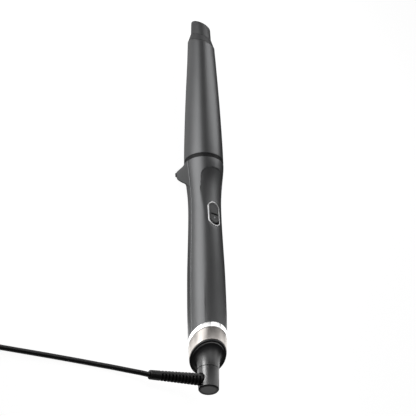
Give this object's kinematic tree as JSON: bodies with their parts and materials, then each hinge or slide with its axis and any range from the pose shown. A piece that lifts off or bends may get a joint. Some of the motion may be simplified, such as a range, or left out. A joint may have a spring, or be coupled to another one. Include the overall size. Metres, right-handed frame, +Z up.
{
  "type": "curling wand",
  "caption": "Hair-curling wand with a tapered barrel, cool tip, moulded stand, thumb recess with power button, and a swivel cord with plug.",
  "frame": {"origin": "middle of the wand without its cord, on the table under it", "axes": "+Y along the wand towards the cool tip, +Z up out of the power button, +X to the wand's right"},
  "size_m": [0.313, 0.3883, 0.0383],
  "materials": {
    "shell": "satin soft-touch charcoal moulding, very fine grain",
    "barrel": "satin charcoal ceramic coating on aluminium",
    "tip": "matt heat-resistant charcoal plastic",
    "shield": "matt near-black heat-resistant plastic",
    "black": "black plastic, soft sheen",
    "rubber": "matt black rubber",
    "cord": "smooth black cord jacket",
    "chrome": "bright polished chrome plating",
    "collar": "warm satin metal",
    "button": "dark grey satin plastic",
    "light": "clear light guide",
    "steel": "zinc-plated steel",
    "aluminium": "bare extruded aluminium",
    "brass": "bright brass",
    "carbon": "pressed carbon, taken as matt plastic",
    "ceramic": "unglazed white ceramic",
    "bead": "amber glass bead",
    "board": "green board laminate",
    "chip": "black moulding resin",
    "capacitor": "dark blue sleeve",
    "red_lead": "red silicone insulation",
    "brown_lead": "brown insulation"
  },
  "bodies": {
    "wand": {"front_shell": "shell", "rear_shell": "shell", "stand_pad_left": "rubber", "stand_pad_right": "rubber", "heat_shield_band": "shield", "barrel": "barrel", "barrel_mount": "ceramic", "tip_shoulder": "tip", "cool_tip": "tip", "tip_insulator": "ceramic", "tip_screw": "steel", "shell_screw_1": "steel", "shell_screw_2": "steel", "button_bezel": "chrome", "tact_switch": "chip", "circuit_board": "board", "triac": "chip", "capacitor": "capacitor", "control_chip": "chip", "indicator_led": "light", "buzzer": "chip", "chrome_ring": "chrome", "metal_collar": "collar", "end_cap": "black", "brush_holder": "board", "brush_live": "carbon", "brush_neutral": "carbon", "heat_spreader_upper": "aluminium", "heat_spreader_lower": "aluminium", "ceramic_heater": "ceramic", "thermistor": "bead", "thermal_fuse": "steel", "heater_lead_live": "red_lead", "heater_lead_neutral": "red_lead", "supply_lead_live": "brown_lead", "supply_lead_neutral": "brown_lead"},
    "button": {"power_button": "button", "light_pipe": "light"},
    "plunger": {"switch_plunger": "button"},
    "swivel": {"swivel_housing": "black", "swivel_end_disc": "black", "swivel_spindle": "black", "slip_ring_live": "brass", "slip_ring_neutral": "brass", "spindle_clip": "steel", "strain_relief": "rubber", "cord": "cord", "cord_coil": "cord", "cord_tail": "cord", "cord_tie": "rubber", "plug_body": "black", "plug_pin_left": "brass", "plug_pin_right": "brass"}
  },
  "joints": [
    {"name": "cord_swivel", "type": "hinge", "parent": "wand", "child": "swivel", "pos_m": [0, -0.17944, 0.01578], "axis": [0, 0.9996, 0.027], "continuous": true},
    {"name": "button_press", "type": "slide", "parent": "wand", "child": "button", "axis": [0, 0.027, -0.9996], "range_m": [0, 0.0008], "stiffness_N_per_m": 600},
    {"name": "plunger_press", "type": "slide", "parent": "wand", "child": "plunger", "axis": [0, 0.027, -0.9996], "range_m": [0, 0.0008]}
  ],
  "couplings": [
    {"joint": "plunger_press", "follows": "button_press", "ratio": 1}
  ]
}
